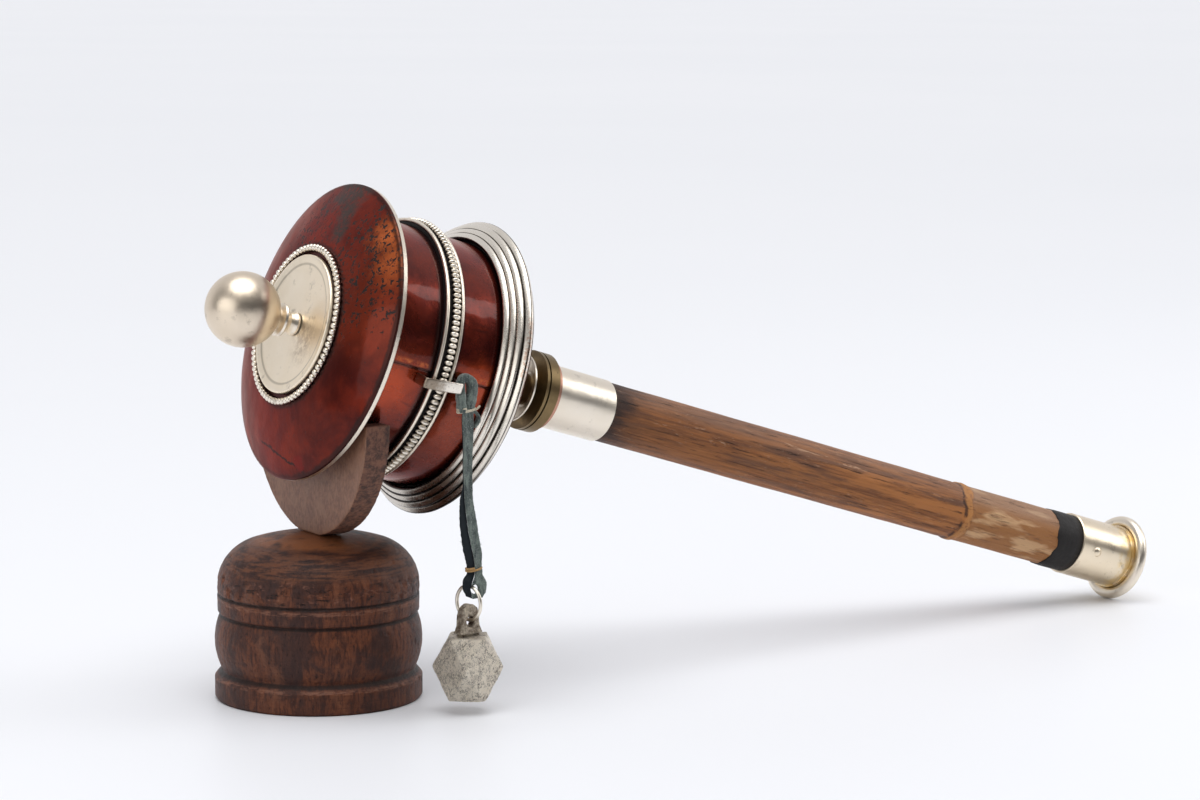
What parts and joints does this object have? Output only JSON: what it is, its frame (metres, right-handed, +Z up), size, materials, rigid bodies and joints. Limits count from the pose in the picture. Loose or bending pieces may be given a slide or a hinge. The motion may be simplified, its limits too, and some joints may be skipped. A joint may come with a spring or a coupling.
{
  "type": "hand prayer wheel",
  "caption": "Hand prayer wheel: a lidded copper drum with beaded silver bands turns on a long cane handle, carries a weight on a leather thong, and lies in a turned wooden cradle.",
  "frame": {"origin": "centre of the underside of the stand's foot, on the surface it stands on", "axes": "+X towards the handle's end, +Y across the cradle, away from the hanging weight, +Z up"},
  "size_m": [0.3259, 0.0912, 0.1421],
  "materials": {
    "silver": "warm yellowish silver or nickel, hand worked, satin with scratches",
    "cast_silver": "rough cast white metal, pitted",
    "red_copper": "dark red lacquered copper, glossy, pitted and patinated",
    "plain_copper": null,
    "brass": "old olive-brown brass",
    "dark_iron": "dark iron",
    "stand_wood": "turned red-brown hardwood, satin, worn",
    "cradle_wood": "plain sawn red-brown board",
    "cane": "brown cane with dark streaks and a paler end",
    "pitch": "black pitch",
    "leather": "grey-green suede thong with a blue-black smooth side",
    "thread": "cream thread",
    "paper": "rolled plain paper"
  },
  "bodies": {
    "stand": {"stand_base": "stand_wood", "stand_dowel": "stand_wood", "stand_cradle": "cradle_wood"},
    "drum": {"drum_wall": "red_copper", "lid": "red_copper", "lid_underside": "red_copper", "lid_collar": "plain_copper", "lid_rim_band": "silver", "lid_dish": "silver", "lid_bead_ring": "silver", "upper_bush": "brass", "band_backing": "silver", "band_front_wire": "silver", "band_bead_wire": "silver", "band_rear_wire": "silver", "base_reed_1": "silver", "base_reed_2": "silver", "base_reed_3": "silver", "base_skirt": "silver", "base_flange": "silver", "base_cover": "red_copper", "base_hub": "brass", "core_tube": "paper", "mantra_scroll": "paper", "scroll_tie_upper": "thread", "scroll_tie_lower": "thread", "strap_loop": "silver", "strap_eye": "leather", "upper_binding": "thread"},
    "handle": {"knob_ball": "silver", "knob_neck": "silver", "axle_rod": "dark_iron", "thrust_bead": "brass", "cupped_washer": "silver", "thin_brass_washer": "brass", "spacer_washer": "dark_iron", "broad_brass_washer": "brass", "copper_collar": "plain_copper", "top_ferrule": "silver", "grip": "cane", "pitch_band": "pitch", "end_ferrule": "silver", "end_cap": "silver", "end_ring": "silver", "ferrule_nail": "silver"},
    "strap": {"strap_thong": "leather", "lower_binding": "thread"},
    "ring": {"jump_ring": "silver"},
    "weight": {"weight": "cast_silver"}
  },
  "joints": [
    {"name": "lift_off", "type": "slide", "parent": "stand", "child": "drum", "axis": [0, 0, 1], "range_m": [0, 0.1]},
    {"name": "drum_spin", "type": "hinge", "parent": "drum", "child": "handle", "pos_m": [0.0006, 0, 0.1021], "axis": [-0.955, 0, 0.2965], "continuous": true},
    {"name": "strap_swing", "type": "hinge", "parent": "drum", "child": "strap", "pos_m": [0.0238, -0.0405, 0.0822], "axis": [-1, 0, 0], "range_deg": [-1.5, 95]},
    {"name": "ring_swing", "type": "hinge", "parent": "strap", "child": "ring", "pos_m": [0.0247, -0.0405, 0.0348], "axis": [-0.9744, -0.225, 0], "range_deg": [-8, 20]},
    {"name": "weight_swing", "type": "hinge", "parent": "ring", "child": "weight", "pos_m": [0.0247, -0.0405, 0.0258], "axis": [0.225, -0.9744, 0], "range_deg": [-25, 25]}
  ]
}
